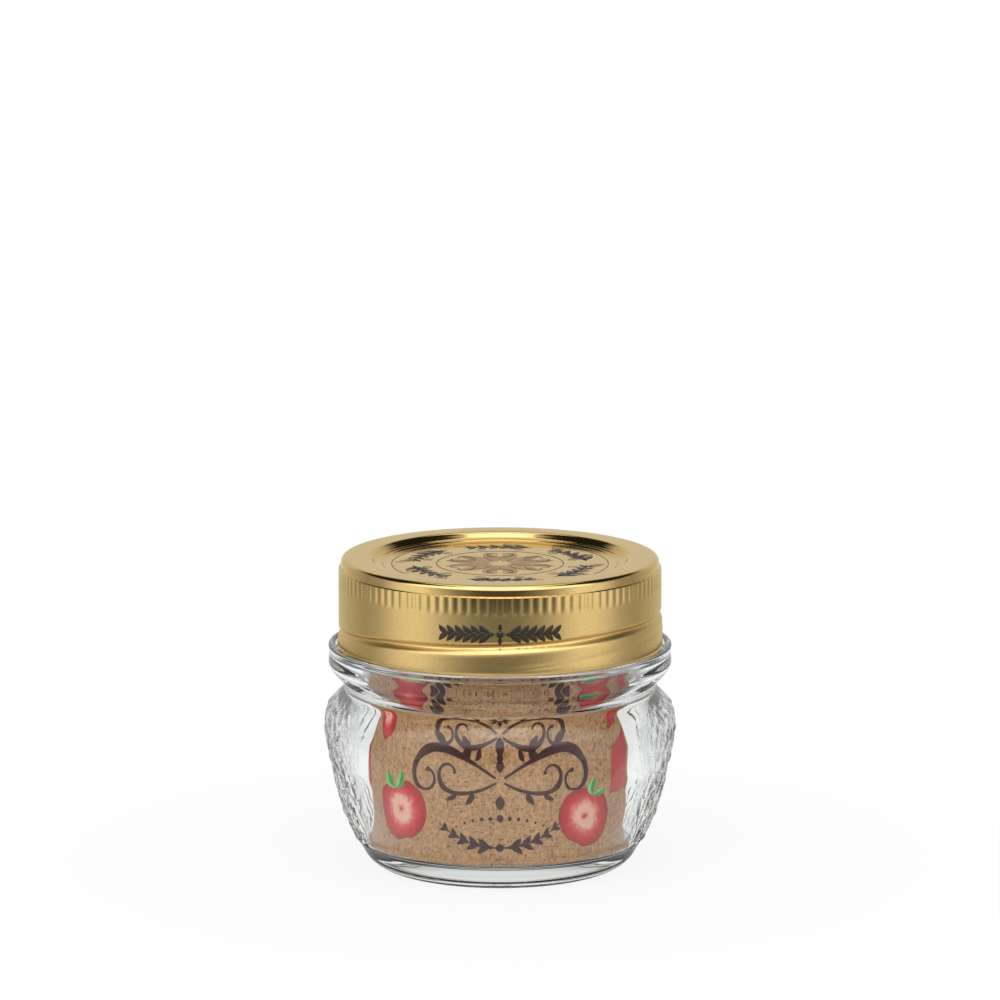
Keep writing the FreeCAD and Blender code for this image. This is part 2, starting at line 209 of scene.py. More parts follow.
RELIEF = 0.6
RELIEF_STEP = 0.34
heel_point, roll_point = (heel_radius, heel_level), (roll_radius, roll_level)
belly_point, waist_point = (belly_radius, belly_level), (waist_radius, waist_level)
bore_point, inner_belly = (mouth_radius, bore_end), (belly_radius - belly_wall, belly_level)
inner_heel = (mouth_radius, floor_level + floor_rise)
floor_edge = (mouth_radius - floor_turn, floor_level)
punt_centre = cap_centre(0, punt_rise, -punt_rise, foot_inside)
heel_centre = cap_centre(foot_radius, 0, heel_level, heel_radius - foot_radius)
floor_centre = cap_centre(*floor_edge, floor_rise, floor_turn)
# The profile goes from the middle of the foot up the outside, over the rim and down the
# inside to the middle of the floor.
jar_profile = moulded([
    (arc(punt_centre, (0, punt_rise), (foot_inside, 0)), 2.5, 0.4),
    ([(foot_inside, 0), (foot_radius, 0)], 0.5, 0),
    (arc(heel_centre, (foot_radius, 0), heel_point), 0.55, 0.8),
    (arc(wall_centre(heel_point, roll_point, wall_bow_radius), heel_point, roll_point),
     RELIEF_STEP, 1.6),
    (arc(upright_centre(belly_point, roll_point), roll_point, belly_point), RELIEF_STEP, 0),
    (arc(upright_centre(belly_point, waist_point), belly_point, waist_point), 0.5, 1.0),
    *straight(waist_point, [
        (lip_outside, flange_low, 0.6, 1.0),
        (lip_outside - 0.3, dish_level, 0.5, 0.7),
        (lip_outside, lip_top, 0.5, 0.65),
        (lip_inside, lip_top, 0.5, 0.65),
        (lip_inside, dish_level, 0.5, 0.5),
        (neck_radius, dish_level, 0.8, 0.8),
        (neck_radius, rim_level, 0.75, 0.7),
        (mouth_radius, rim_level, 0.5, 0.7),
        (mouth_radius, bore_end, 2.5, 5.0)]),
    (arc(upright_centre(inner_belly, bore_point), bore_point, inner_belly), 1.0, 0),
    (arc(upright_centre(inner_belly, inner_heel), inner_belly, inner_heel), 1.3, 0.3),
    (arc(floor_centre, inner_heel, floor_edge), 0.5, 0.3),
    ([floor_edge, (0, floor_level)], 2.5, 0),
])
# Degrees round from the front: fine steps on the two raised sides, coarse ones between.
SIDE_START, SIDE_END = 62.0, 118.0
SIDE_RADIUS, GRID_RADIUS = 36.5, 38.0
PLAIN_STEP = 1.6
side_angles = np.arange(SIDE_START, SIDE_END, math.degrees(RELIEF_STEP / GRID_RADIUS) * 1.12)
plain_angles = np.arange(SIDE_END - 180, SIDE_START, PLAIN_STEP)
jar_angles = np.radians(np.concatenate([plain_angles, side_angles,
                                        plain_angles + 180, side_angles + 180]))


def leaf_height(run, rise, length, width, turn):
    """Height of a raised leaf: a dome over a lens shape, cut by a midrib and slant veins."""
    u = run * math.cos(turn) + rise * math.sin(turn)
    v = -run * math.sin(turn) + rise * math.cos(turn)
    on_leaf = np.abs(u) < length / 2
    half = on_leaf * width / 2 * np.clip(np.cos(np.pi * u / length), 0, 1) ** 0.7
    dome = np.sqrt(np.clip(1 - (v / np.maximum(half, 1e-6)) ** 2, 0, 1)) * (half > 0)
    veins = 0.5 + 0.5 * np.cos(2 * np.pi * (u - np.abs(v) * 0.8) / 1.2)
    return dome * (0.75 + 0.25 * veins) - 0.35 * np.exp(-(v / 0.25) ** 2) * (dome > 0)


def fruit_height(run, rise, radius):
    """Height of a raised fruit: half a ball with a dimple for its stalk."""
    ball = np.sqrt(np.clip(1 - (np.hypot(run, rise) / radius) ** 2, 0, 1))
    dimple = np.exp(-(np.hypot(run - 0.3 * radius, rise - 0.35 * radius) / 0.6) ** 2)
    return ball - 0.5 * dimple * (ball > 0)


def smooth_step(value):
    """0 below 0, 1 above 1 and 3v^2 - 2v^3 between."""
    value = np.clip(value, 0, 1)
    return value * value * (3 - 2 * value)


NET_ACROSS, NET_UP = 3.4, 3.1
NET_ROWS, NET_COLUMNS = 11, 11
MOTIF_LENGTH, MOTIF_WIDTH = 5.4, 2.3
FRUIT_RADIUS = 1.5
RELIEF_LOW, RELIEF_HIGH = 5.2, 39.5
RELIEF_HALF_WIDTH = 17.6


def side_relief(angle, level):
    """Leaves and fruit on a staggered net over each side, the highest one showing."""
    height = np.zeros_like(angle)
    draw = np.random.default_rng(7)
    middle = math.radians((SIDE_START + SIDE_END) / 2)
    for side in (-1, 1):
        run = ((angle - side * middle + np.pi) % (2 * np.pi) - np.pi) * SIDE_RADIUS
        for row in range(NET_ROWS):
            for column in range(-(NET_COLUMNS // 2), NET_COLUMNS // 2 + 1):
                x = (column + (row % 2) / 2) * NET_ACROSS + draw.uniform(-0.6, 0.6)
                z = RELIEF_LOW + 1.3 + row * NET_UP + draw.uniform(-0.5, 0.5)
                tilt = math.radians(draw.uniform(30, 85) * (1 if (row + column) % 2 else -1))
                if (row + 2 * column) % 4 == 0:
                    motif = fruit_height(run - x, level - z, FRUIT_RADIUS)
                else:
                    motif = 0.8 * leaf_height(run - x, level - z,
                                              MOTIF_LENGTH, MOTIF_WIDTH, tilt)
                height = np.maximum(height, motif)
        fade = smooth_step((RELIEF_HALF_WIDTH - np.abs(run)) / 3)
        this_side = np.abs(run) < RELIEF_HALF_WIDTH + 7
        height = np.where(this_side, height * fade, height)
    return height


THREAD_PITCH, THREAD_RISE, THREAD_HALF_WIDTH = 6.5, 1.3, 0.9
thread_low = dish_level + 6.2
FOOT_RIBS, FOOT_RIB_RISE = 120, 0.18


def jar_shape(radius, level, angle):
    """The round profile, with its raised sides, thread, ribbed foot and uneven inside.

    The thread is two turns of a ridge of height rise exp(-(distance / half width)^2).
    """
    mouth_row = np.argmax(np.isclose(radius[:, 0], mouth_radius))
    outside = np.arange(radius.shape[0])[:, None] < mouth_row
    body = (outside & (radius > heel_radius - 0.5)
            & (level > RELIEF_LOW) & (level < RELIEF_HIGH))
    edge = smooth_step((level - RELIEF_LOW) / 2) * smooth_step((RELIEF_HIGH - level) / 3)
    raised = np.where(body, side_relief(angle, level) * edge, 0)
    turns = (angle / (2 * np.pi)) % 1
    above = [level - start - THREAD_PITCH * turns
             for start in (thread_low, thread_low + THREAD_PITCH)]
    thread = sum(THREAD_RISE * np.exp(-(rise / THREAD_HALF_WIDTH) ** 2) for rise in above)
    on_neck = (outside & (radius < lip_inside - 1)
               & (level > dish_level + 1) & (level < rim_level - 1))
    waves = 0.09 * np.sin(5 * angle + level * 0.27) + 0.04 * np.sin(9 * angle - level * 0.41)
    waves_low = floor_level + 2
    inside = ~outside & (level > waves_low) & (level < bore_end)
    fade = smooth_step((level - waves_low) / 3) * smooth_step((bore_end - level) / 3)
    foot = (level < 0.05) & (radius > foot_inside) & (radius < foot_radius)
    radius = (radius + RELIEF * raised + np.where(on_neck, thread, 0)
              + np.where(inside, waves * fade, 0))
    foot_ribs = FOOT_RIB_RISE * np.abs(np.cos(FOOT_RIBS / 2 * angle))
    return radius, level + np.where(foot, foot_ribs, 0)


def colour(code):
    """Linear colour from an sRGB hex code."""
    value = np.array([int(code[i:i + 2], 16) for i in (1, 3, 5)]) / 255
    linear = np.where(value <= 0.04045, value / 12.92, ((value + 0.055) / 1.055) ** 2.4)
    return (*linear.tolist(), 1.0)


def add_node(tree, kind, inputs=(), stops=(), **settings):
    """Add a node with its settings; an input is a value, a socket or a node's first output.

    The stops of a colour ramp are (position, colour) pairs from its low end up.
    """
    node = tree.nodes.new("ShaderNode" + kind)
    for key, value in settings.items():
        setattr(node, key, value)
    if stops:
        elements = node.color_ramp.elements
        for element, stop in zip(elements, (stops[0], stops[-1])):
            element.position, element.color = stop
        for position, shade in stops[1:-1]:
            elements.new(position).color = shade
    for key, value in dict(inputs).items():
        if isinstance(value, bpy.types.Node):
            value = value.outputs[0]
        if isinstance(value, bpy.types.NodeSocket):
            tree.links.new(value, node.inputs[key])
        else:
            node.inputs[key].default_value = value
    return node


def new_material(name):
    """An empty node material and its tree."""
    material = bpy.data.materials.new(name)
    material.use_nodes = True
    material.node_tree.nodes.clear()
    return material, material.node_tree


# Soda-lime glass, fire-polished: clear and all but colourless. The cut steel of the mould
# leaves a fine grain on the raised sides only. Lamps shine through to the leaflet.
glass_material, tree = new_material("fire_polished_soda_lime_glass")
place = add_node(tree, "TexCoord")
parts = add_node(tree, "SeparateXYZ", {0: place.outputs["Object"]})
sideways = add_node(tree, "Math", {0: parts.outputs["X"]}, operation="ABSOLUTE")
raised_part = add_node(tree, "MapRange", {
    "Value": sideways, "From Min": 30.5 * MM, "From Max": 34.5 * MM})
below_waist = add_node(tree, "MapRange", {
    "Value": parts.outputs["Z"],
    "From Min": waist_level * MM, "From Max": (waist_level - 3) * MM})
share = add_node(tree, "Math", {0: raised_part, 1: below_waist}, operation="MULTIPLY")
mould_grain = add_node(tree, "TexNoise", {
    "Vector": place.outputs["Object"], "Scale": 1 / (1.1 * MM),
    "Detail": 3.0, "Roughness": 0.6})
fine = add_node(tree, "Math", {0: mould_grain, 1: share}, operation="MULTIPLY")
bump = add_node(tree, "Bump", {"Strength": 1.0, "Distance": 0.12 * MM, "Height": fine})
glass = add_node(tree, "BsdfPrincipled", {
    "Base Color": colour("#FCFEFD"), "Roughness": 0.0, "IOR": 1.5, "Transmission Weight": 1.0,
    "Normal": bump})
passing = add_node(tree, "BsdfTransparent", {"Color": colour("#F6F8F7")})
path = add_node(tree, "LightPath")
surface = add_node(tree, "MixShader", {
    0: path.outputs["Is Shadow Ray"], 1: glass, 2: passing})
add_node(tree, "OutputMaterial", {"Surface": surface})

jar = turned("glass_jar", jar_profile, jar_angles, jar_shape)
jar.data.materials.append(glass_material)
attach(jar, "root")
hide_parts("jar")

# ------------------------------------------------------------------------ seal
# A ring of off-white compound flowed into the lid, which the glass rim presses on.
seal_inside, seal_outside = mouth_radius - 0.6, neck_radius + 0.6
seal_low, seal_high = (corner[2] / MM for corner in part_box("seal"))
seal_profile = moulded(straight((seal_inside, seal_low), [
    (seal_outside, seal_low, 0.6, 0.25),
    (seal_outside, seal_high, 0.4, 0.25),
    (seal_inside, seal_high, 0.6, 0.25),
    (seal_inside, seal_low, 0.4, 0.25)]))

# Off-white sealing compound, poured and cured: dull, and soft to look at.
seal_material, tree = new_material("sealing_compound")
place = add_node(tree, "TexCoord")
grain = add_node(tree, "TexNoise", {
    "Vector": place.outputs["Object"], "Scale": 1 / (1.1 * MM), "Detail": 3.0})
bump = add_node(tree, "Bump", {"Strength": 0.25, "Distance": 0.1 * MM, "Height": grain})
compound = add_node(tree, "BsdfPrincipled", {
    "Base Color": colour("#DDD8C8"), "Roughness": 0.6, "Normal": bump})
add_node(tree, "OutputMaterial", {"Surface": compound})
seal = turned("sealing_ring", seal_profile, np.radians(np.arange(0, 360, 2.0)))
seal.data.materials.append(seal_material)
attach(seal, "root")
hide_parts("seal")

# ------------------------------------------------------------------------ lid
# Tinplate pressed to a cap, lacquered gold: a glossy bead round a sunk panel, a skirt with
# pressed ribs, and below them the thread rolled in, which climbs to the right.
bead_radius = skirt_radius - 0.55
recess_radius = mouth_radius - 1.5
ledge_radius = recess_radius - 1.2
panel_radius = ledge_radius - 1.4
ledge_level = lid_top - 1.3
panel_level = ledge_level - 0.4
bead_low = lid_top - 1.55
rib_top = lid_top - 2.5
rib_low = rib_top - 4.2
plain_low = 59.8
RIBS = 108
RIB_RISE = 0.15
GROOVE_DEPTH = 0.9
LOWER_SWELL = 0.3
CREASE_DEPTH = 0.16


def groove_level(degrees):
    """Level of the rolled thread groove: it climbs from the left side to the right."""
    return np.interp(degrees, [-180, -130, -90, -65, -45, 0, 50, 95, 140, 180],
                     [58.9, 56.0, 54.3, 55.4, 56.5, 57.55, 58.5, 58.6, 58.9, 58.9])


def lid_shape(radius, level, angle):
    """The skirt's radius by level: ribs, a plain band, the rolled groove, the lower swell.

    The ribs are 1 - (0.5 + 0.5 cos of the rib's turn)^0.6 deep, with narrow valleys. The
    groove and the swell are smooth steps, and a light crease climbs over the lower band.
    """
    degrees = (np.degrees(angle) + 180) % 360 - 180
    skirt = (level < rib_top + 0.3) & (radius > bead_radius - 1.5)
    below = level - groove_level(degrees)
    strength = np.interp(degrees, [-180, -150, -115, -90, 95, 150, 180],
                         [0.5, 0.15, 0.3, 1, 1, 0.8, 0.5])
    dip = np.where(below > 0, smooth_step(1 - below / 1.0), smooth_step(1 + below / 1.3))
    swell = LOWER_SWELL * smooth_step((-below - 0.2) / 2.2)
    swell = swell * smooth_step((level - lid_edge + 2.2) / 1.2)
    crease_at = np.interp(degrees, [0, 80], [52.2, 56.2])
    crease = CREASE_DEPTH * np.exp(-((level - crease_at) / 0.55) ** 2)
    crease = crease * np.interp(degrees, [-5, 15, 80, 100], [0, 1, 1, 0])
    wave = 0.5 + 0.5 * np.cos(RIBS * angle)
    reach = smooth_step((level - rib_low) / 0.8) * smooth_step((rib_top + 0.2 - level) / 0.4)
    ribbed = -RIB_RISE * reach * (1 - wave ** 0.6)
    change = ribbed - GROOVE_DEPTH * strength * dip + swell - crease
    return radius + np.where(skirt, change, 0), level


inner_skirt, inner_bead = skirt_radius - lid_sheet, bead_radius - lid_sheet
inner_top, inner_ledge, inner_panel = (
    level - lid_sheet for level in (lid_top, ledge_level, panel_level))
# The profile goes out over the top, down the skirt, round the curled edge and back inside.
lid_profile = moulded(straight((0, panel_level), [
    (panel_radius - 0.4, panel_level, 3.2, 0.3),
    (panel_radius, ledge_level, 0.2, 0.2),
    (ledge_radius, ledge_level, 0.5, 0.35),
    (recess_radius, lid_top, 0.4, 0.5),
    (bead_radius, lid_top, 1.6, 1.3),
    (bead_radius, bead_low, 0.1, 0.15),
    (bead_radius, rib_top + 0.12, 0.2, 0.08),
    (skirt_radius, rib_top, 0.2, 0.12),
    (skirt_radius, rib_low - 1.0, 0.4, 0),
    (skirt_radius, plain_low, 0.6, 0),
    (skirt_radius, lid_edge + 0.5, 0.34, 0.5),
    (skirt_radius - 0.6, lid_edge, 0.3, 0.3),
    (inner_skirt, lid_edge + 1.4, 0.4, 0.4),
    (inner_skirt, plain_low, 0.6, 0),
    (inner_skirt, rib_top, 1.1, 0.2),
    (bead_radius - 0.8, bead_low - 0.4, 0.5, 0.2),
    (inner_bead, bead_low, 0.4, 0.1),
    (inner_bead, inner_top, 0.5, 0.6),
    (recess_radius + 0.17, inner_top, 2.5, 0.4),
    (ledge_radius + 0.17, inner_ledge, 0.8, 0.3),
    (panel_radius + 0.2, inner_ledge, 0.8, 0.2),
    (panel_radius - 0.2, inner_panel, 0.4, 0.2),
    (0, inner_panel, 6.0, 0)]))

# Gold lacquer over tinplate: a warm mirror on the bead, satin on the skirt, where the
# sheet's own grain shows through as a fine speckle. The lacquer's own surface adds a
# colourless sheen, which turns the brightest highlights cream.
lid_material, tree = new_material("gold_lacquered_tinplate")
place = add_node(tree, "TexCoord")
grain = add_node(tree, "TexNoise", {
    "Vector": place.outputs["Object"], "Scale": 1 / (0.35 * MM),
    "Detail": 4.0, "Roughness": 0.7})
parts = add_node(tree, "SeparateXYZ", {0: place.outputs["Object"]})
satin = add_node(tree, "MapRange", {
    "Value": parts.outputs["Z"], "From Min": rib_low * MM, "From Max": (bead_low - 0.3) * MM,
    "To Min": 0.32, "To Max": 0.10})
speckle = add_node(tree, "ValToRGB", {"Fac": grain},
                   stops=[(0.3, colour("#CCAB65")), (0.7, colour("#DEC284"))])
bump = add_node(tree, "Bump", {"Strength": 0.12, "Distance": 0.03 * MM, "Height": grain})
gold = add_node(tree, "BsdfPrincipled", {
    "Base Color": speckle, "Metallic": 1.0, "Roughness": satin,
    "Specular Tint": colour("#FDF0CC"), "Normal": bump,
    "Coat Weight": 0.35, "Coat Roughness": satin})
add_node(tree, "OutputMaterial", {"Surface": gold})

lid_angles = np.radians(np.arange(0, 360, 360 / (RIBS * 6)))
lid = turned("screw_lid", lid_profile, lid_angles, lid_shape)
lid.data.materials.append(lid_material)
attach(lid, "root")
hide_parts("lid")

# ------------------------------------------------------------------------ leaflet
# A sheet of unbleached kraft paper, rolled to a little over one turn, which its own stiffness
# holds open, and stood on the glass floor.
paper_low, paper_high = (corner[2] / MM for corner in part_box("leaflet"))
paper_radius = mouth_radius - 1.6
PAPER = 0.35
PAPER_ROWS = 40
ROLL_PITCH = 0.7
OUTER_END = 56.0
OVERLAP = 62.0


def roll_radius_at(turned_back):
    """Radius of the paper's face, by degrees along the sheet back from its outer end.

    Half circles on two centres half a pitch apart: R, then R - p/2 - (p/2) cos t, then R - p.
    """
    back = np.asarray(turned_back, float)
    second = paper_radius - ROLL_PITCH / 2 * (1 + np.cos(np.radians(360 - back)))
    second = np.where(back <= 360, second, paper_radius - ROLL_PITCH)
    return np.where(back <= 180, paper_radius, second)


def paper_sheet():
    """The roll as a closed slab: both faces and the four edges, as one loop carried round."""
    back = np.arange(0, 360 + OVERLAP + 0.1, 1.5)
    angle = np.radians(OUTER_END - back)
    heights = np.linspace(paper_low, paper_high, PAPER_ROWS)
    loop_level = np.concatenate([heights, heights[::-1]])
    radius = roll_radius_at(back)[:, None] + np.repeat([0, -PAPER], PAPER_ROWS)
    points = np.stack([radius * np.sin(angle)[:, None], -radius * np.cos(angle)[:, None],
                       np.broadcast_to(loop_level, radius.shape)], -1)
    rows, columns = radius.shape
    number = np.arange(rows * columns).reshape(rows, columns)
    across = np.roll(number, -1, axis=1)
    sides = np.stack([number[:-1], number[1:], across[1:], across[:-1]], -1).reshape(-1, 4)
    ends = []
    for row, flip in ((0, 1), (-1, -1)):
        front, rear = number[row, :PAPER_ROWS], number[row, PAPER_ROWS:][::-1]
        ends.append(np.stack([front[:-1], front[1:], rear[1:], rear[:-1]], -1)[:, ::flip])
    return closed_object("rolled_leaflet", points.reshape(-1, 3), [sides, *ends])


# Unbleached kraft paper: brown fibres pressed flat, so the colour is mottled, with darker
# flecks and a dull surface. One fibre is too fine to show: FIBRE is a bundle's width.
FIBRE = 0.45
paper_material, tree = new_material("unbleached_kraft_paper")
place = add_node(tree, "TexCoord")
mottle = add_node(tree, "TexNoise", {
    "Vector": place.outputs["Object"], "Scale": 1 / (FIBRE * 2 * MM),
    "Detail": 5.0, "Roughness": 0.75})
flecks = add_node(tree, "TexNoise", {
    "Vector": place.outputs["Object"], "Scale": 1 / (FIBRE * MM), "Detail": 3.0})
brown = add_node(tree, "ValToRGB", {"Fac": mottle},
                 stops=[(0.32, colour("#886543")), (0.68, colour("#C99C6F"))])
dark = add_node(tree, "ValToRGB", {"Fac": flecks},
                stops=[(0.30, colour("#957F6A")), (0.42, colour("#FFFFFF"))])
kraft = add_node(tree, "Mix", {0: 1.0, 6: brown, 7: dark},
                 data_type="RGBA", blend_type="MULTIPLY")
bump = add_node(tree, "Bump", {"Strength": 0.3, "Distance": 0.04 * MM, "Height": mottle})
paper = add_node(tree, "BsdfPrincipled", {
    "Base Color": kraft.outputs[2], "Roughness": 0.85, "Specular IOR Level": 0.1,
    "Normal": bump})
add_node(tree, "OutputMaterial", {"Surface": paper})

leaflet = paper_sheet()
leaflet.data.materials.append(paper_material)
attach(leaflet, "root")
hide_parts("leaflet")

# ------------------------------------------------------------------------ leaflet print
# Offset print on the paper: scrollwork in dark brown ink, halved apples with their leaves
# in four colours, and plain red fields. Ink has no thickness to see, so each shape is a
# film just off the paper, and later colours lie a little higher.
FILM = 0.02


def grid_object(name, grids, uvs=None, smooth=True):
    """One open mesh from point grids of [rows, columns, 3]; uvs are grids of [.., 2]."""
    faces, base = [], 0
    for grid in grids:
        rows, columns = grid.shape[:2]
        number = base + np.arange(rows * columns).reshape(rows, columns)
        faces.append(np.stack([number[:-1, :-1], number[1:, :-1],
                               number[1:, 1:], number[:-1, 1:]], -1).reshape(-1, 4))
        base += rows * columns
    points = np.concatenate([grid.reshape(-1, 3) for grid in grids])
    made = mesh_object(name, points, faces, smooth)
    if uvs is not None:
        corners = np.concatenate(faces).reshape(-1)
        flat = np.concatenate([uv.reshape(-1, 2) for uv in uvs])[corners]
        layer = made.data.uv_layers.new(name="print")
        layer.data.foreach_set("uv", flat.astype(np.float32).reshape(-1))
    return made


def between(low, high, rows=3):
    """Grid filled evenly between two curves of equal length: low + t (high - low)."""
    low, high = np.asarray(low, float), np.asarray(high, float)
    t = np.linspace(0, 1, rows)[None, :, None]
    grid = low[:, None] * (1 - t) + high[:, None] * t
    u = np.broadcast_to(np.linspace(0, 1, len(low))[:, None], grid.shape[:2])
    return grid, np.stack([u, np.broadcast_to(t[..., 0], u.shape)], -1)


def stroke(path, half_width, rows=3):
    """A pen stroke: the path moved half_width to its right and to its left, and filled."""
    path = np.asarray(path, float)
    heading = np.gradient(path, axis=0)
    heading /= np.maximum(np.hypot(*heading.T), 1e-9)[:, None]
    half_width = np.broadcast_to(half_width, len(path))
    across = np.stack([-heading[:, 1], heading[:, 0]], 1) * half_width[:, None]
    return between(path - across, path + across, rows)


def ring_path(centre, across, upright, start=0.0, end=360.0, count=90):
    """Points on an ellipse from start to end degrees, 0 to the right."""
    t = np.radians(np.linspace(start, end, count))
    return np.stack([centre[0] + across * np.cos(t), centre[1] + upright * np.sin(t)], 1)


def volute(start, heading, length, bend, tighten, count=100):
    """A scroll that turns by bend + tighten t^2.2 radians a mm, t from 0 to 1 along it."""
    t = np.linspace(0, 1, count)
    step = length / (count - 1)
    angle = heading + np.cumsum((bend + tighten * t ** 2.2) * step)
    steps = np.stack([np.cos(angle), np.sin(angle)], 1) * step
    return np.asarray(start) + np.cumsum(steps, axis=0)


def swell(widest, least=0.09, at=0.45, count=100):
    """Half widths of a pen stroke: thin, widest at the given part of its length, thin."""
    t = np.linspace(0, 1, count)
    rise = np.where(t < at, t / at, (1 - t) / (1 - at))
    return least + (widest - least) * np.sin(np.pi / 2 * rise) ** 2


def turning(angle):
    """Matrix that turns rows of (x, y) by an angle in radians."""
    return np.array([[math.cos(angle), math.sin(angle)], [-math.sin(angle), math.cos(angle)]])


def leaf(base, length, width, turn, bend=0.12, count=11, rows=5):
    """A leaf: a bowed midrib whose half width swells as a sine between two points."""
    t = np.linspace(0, 1, count)
    midrib = np.stack([length * t, bend * length * np.sin(np.pi * t)], 1) @ turning(turn)
    return stroke(base + midrib, width / 2 * np.sin(np.pi * t) ** 0.8 + 0.02, rows)


def berry(centre, radius, count=10, rows=3):
    """A round spot, filled between its lower and its upper half circle."""
    t = np.linspace(0, np.pi, count)
    across, rise = centre[0] - radius * np.cos(t), radius * np.sin(t) + 0.01
    low, high = (np.stack([across, centre[1] + side * rise], 1) for side in (-1, 1))
    return between(low, high, rows)


def garland(path, size, spacing, lean=0.6, least=0.62):
    """Pairs of leaves along a path, turned out by lean radians, with a berry in each pair."""
    length = chain_length(path)
    at = np.arange(spacing * 0.5, length[-1], spacing)
    spots = np.stack([np.interp(at, length, path[:, i]) for i in (0, 1)], 1)
    run, rise = np.gradient(path, axis=0).T
    headings = np.interp(at, length, np.unwrap(np.arctan2(rise, run)))
    made = []
    for spot, angle, fade in zip(spots, headings, np.linspace(1, least, len(at))):
        made += [leaf(spot, size * fade, size * 0.42 * fade, angle + side * lean,
                      -0.1 * side, 9, 3) for side in (-1, 1)]
        made.append(berry(spot, 0.14 * size * fade, 8))
    return made


def mirrored(shapes):
    """The shapes and their mirror images left to right, laid the same way out."""
    return list(shapes) + [((grid * [-1, 1])[::-1], uv[::-1]) for grid, uv in shapes]


def scrollwork(level, size):
    """The right half of one row: a scroll that rises, one that falls, and their leaves."""
    root = 0.6 * size
    rising = volute((root, level), 0.62, 31 * size, -0.02 / size, -0.62 / size)
    falling = volute((root, level - root), -0.5, 19 * size, 0.03 / size, 0.75 / size)
    return [stroke(rising, swell(0.74 * size ** 0.5, 0.26)),
            stroke(falling, swell(0.6 * size ** 0.5, 0.22)),
            leaf(rising[20], 4.0 * size, 1.5 * size, 1.25),
            leaf(rising[36], 3.6 * size, 1.4 * size, 0.75),
            leaf(falling[27], 3.4 * size, 1.3 * size, -1.2, -0.12),
            leaf(falling[44], 3.0 * size, 1.2 * size, -0.75, -0.12),
            berry(rising[-1], 0.42 * size), berry(falling[-1], 0.34 * size)]


def on_paper(grid, lift):
    """Lay (along, level) points lift mm off the paper's outer face, along 0 at the front."""
    angle = grid[..., 0] / paper_radius
    radius = roll_radius_at((OUTER_END - np.degrees(angle)) % 360) + lift
    return np.stack([radius * np.sin(angle), -radius * np.cos(angle), grid[..., 1]], -1)


def printed(name, shapes, lay, lift, material):
    """Shapes laid on a surface as one piece, a film thick."""
    made = grid_object(name, [lay(grid, lift) for grid, _ in shapes], [uv for _, uv in shapes])
    made.data.materials.append(material)
    thick = made.modifiers.new("film", "SOLIDIFY")
    thick.thickness = FILM * MM
    thick.offset = 1.0
    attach(made, "root")


# The scrollwork stands in the middle of the front: two rows of scrolls about a stem with a
# flower, a row of dots and a garland below, and an arch of leaves above, behind the neck.
low_arc = ring_path((0, 25.2), 18.2, 14.4, 273, 319, 60)
arch_outer = ring_path((0, 43.6), 18.6, 11.4, 22, 90, 60)
arch_inner = ring_path((0, 43.6), 17.2, 10.0, 20, 90, 60)
right_half = scrollwork(35.0, 0.80) + scrollwork(26.6, 1.12)
right_half += garland(low_arc, 3.1, 2.55) + [stroke(low_arc, np.linspace(0.2, 0.1, 60))]
right_half += [berry((2.1 + 1.9 * i, 17.2 - 0.12 * i * i), 0.45 - 0.06 * i) for i in range(5)]
right_half += [stroke(arch_outer, 0.36), stroke(arch_inner, 0.14)]
for i in range(8):
    lean = math.radians(84 - 10 * i)
    root = (16.4 * math.cos(lean), 43.4 + 9.2 * math.sin(lean))
    right_half.append(leaf(root, 3.4, 1.5, lean + math.pi + 0.35))
right_half += garland(ring_path((0, 68.0), 17.0, 11.0, 274, 330, 40), 3.4, 2.9)
dark_print = mirrored(right_half)
dark_print += [leaf((0, 31.2), 3.4, 1.9, math.pi / 2, 0),
               leaf((0, 31.0), 3.0, 1.7, -math.pi / 2, 0),
               leaf((0, 22.6), 3.6, 2.0, -math.pi / 2, 0)]
dark_print += [berry((0, level), radius) for level, radius in (
    (31.1, 0.7), (17.3, 0.75), (10.8, 0.9), (49.6, 1.1), (57.0, 1.0))]
for petal in np.linspace(0, 2 * np.pi, 9)[:-1]:
    root = (0.55 * math.cos(petal), 38.9 + 0.55 * math.sin(petal))
    dark_print.append(leaf(root, 2.0, 1.0, petal, 0))

# The same scrolls, smaller, stand on the middle of the back.
back_half = scrollwork(38.0, 0.72) + scrollwork(30.4, 0.94)
back_half += [berry((1.6 + 1.7 * i, 22.4), 0.5 - 0.06 * i) for i in range(6)]
dark_print += [(grid - [math.pi * paper_radius, 0], uv) for grid, uv in mirrored(back_half)]


def broken_ink(name, grain, detail, stops, finish):
    """Ink in two shades, mixed in patches of grain mm where the rough surface takes it."""
    material, tree = new_material(name)
    place = add_node(tree, "TexCoord")
    patches = add_node(tree, "TexNoise", {
        "Vector": place.outputs["Object"], "Scale": 1 / (grain * MM), "Detail": detail})
    shade = add_node(tree, "ValToRGB", {"Fac": patches},
                     stops=[(position, colour(code)) for position, code in stops])
    ink = add_node(tree, "BsdfPrincipled", {"Base Color": shade, **finish})
    add_node(tree, "OutputMaterial", {"Surface": ink})
    return material


# Dark brown offset ink: it sinks into rough paper and dries nearly black and dull, broken
# a little by the fibres.
OFFSET_FINISH = {"Roughness": 0.6, "Specular IOR Level": 0.1}
dark_ink = broken_ink("dark_brown_offset_ink", 0.3, 2.0,
                      [(0.35, "#300D0A"), (0.75, "#421712")], OFFSET_FINISH)
printed("leaflet_scrollwork", dark_print, on_paper, 0.04, dark_ink)


